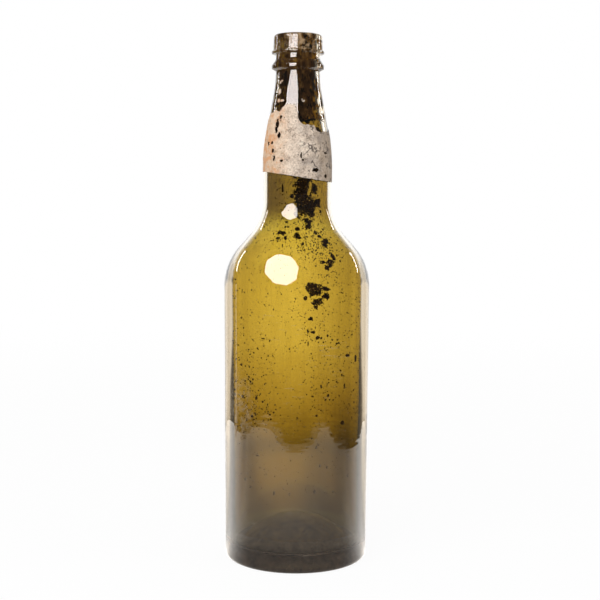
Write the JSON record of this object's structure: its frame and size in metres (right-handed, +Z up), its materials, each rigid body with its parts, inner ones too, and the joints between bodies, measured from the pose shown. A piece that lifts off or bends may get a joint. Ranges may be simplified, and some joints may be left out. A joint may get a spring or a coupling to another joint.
{
  "type": "antique glass wine bottle",
  "caption": "Cylindrical blown-glass wine bottle with a sloping shoulder, ringed lip, push-up base, pull-out cork and the torn foil of its capsule on the neck.",
  "frame": {"origin": "centre of the plane that the bottle stands on", "axes": "+Z up the bottle's axis, -Y the front that the picture shows, +X to the right of it"},
  "size_m": [0.0798, 0.0798, 0.288],
  "materials": {
    "olive_glass": "old olive-amber bottle glass, smooth and slightly rippled",
    "old_cork": "dark stained cork with pores",
    "lead_foil": "dull oxidised foil with rusty stains",
    "dried_crust": "matt dark dried dregs"
  },
  "bodies": {
    "bottle": {"bottle_glass": "olive_glass", "lip_band": "olive_glass", "string_ring": "olive_glass", "capsule_skirt": "lead_foil", "capsule_scraps": "lead_foil", "neck_crust": "dried_crust", "shoulder_crust": "dried_crust"},
    "stopper": {"cork": "old_cork"}
  },
  "joints": [
    {"name": "cork_pull", "type": "slide", "parent": "bottle", "child": "stopper", "axis": [0, 0, 1], "range_m": [0, 0.048]}
  ]
}
